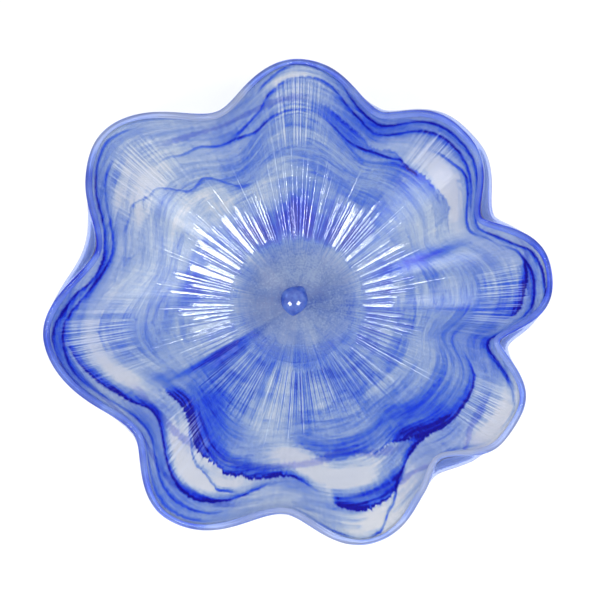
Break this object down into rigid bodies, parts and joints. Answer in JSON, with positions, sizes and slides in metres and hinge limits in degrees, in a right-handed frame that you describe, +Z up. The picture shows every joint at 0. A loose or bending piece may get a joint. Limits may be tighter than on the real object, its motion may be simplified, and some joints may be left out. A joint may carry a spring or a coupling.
{
  "type": "art glass bowl",
  "caption": "Shallow hand-blown art glass bowl with a ruffled, lobed rim, swirled blue and clear glass, an iridescent ribbed centre and a blue glass drop in the well.",
  "frame": {"origin": "centre of the foot's flat resting face, which is also the bowl's axis", "axes": "+Z up along the bowl's axis; -Y towards the viewer, the side with the bold cobalt sweeps; +X to the viewer's right, where the narrow pocket-like lobe is"},
  "size_m": [0.4076, 0.3908, 0.1046],
  "materials": {
    "blue_gather": "polished, swirled blue, iridised and ribbed round the well",
    "clear_casing": "polished clear with a faint lavender cast",
    "cobalt": "polished deep cobalt",
    "blue_drop": "polished blue",
    "blue_foot": "ground flat, fire-polished edge"
  },
  "bodies": {
    "root": {"colour_gather": "blue_gather", "clear_casing": "clear_casing", "cobalt_trail_inner": "cobalt", "cobalt_trail_back": "cobalt", "cobalt_trail_front_left": "cobalt", "cobalt_trail_front_right": "cobalt", "cobalt_trail_right": "cobalt", "lip_wrap": "cobalt", "centre_drop": "blue_drop", "foot_pad": "blue_foot"}
  },
  "joints": []
}
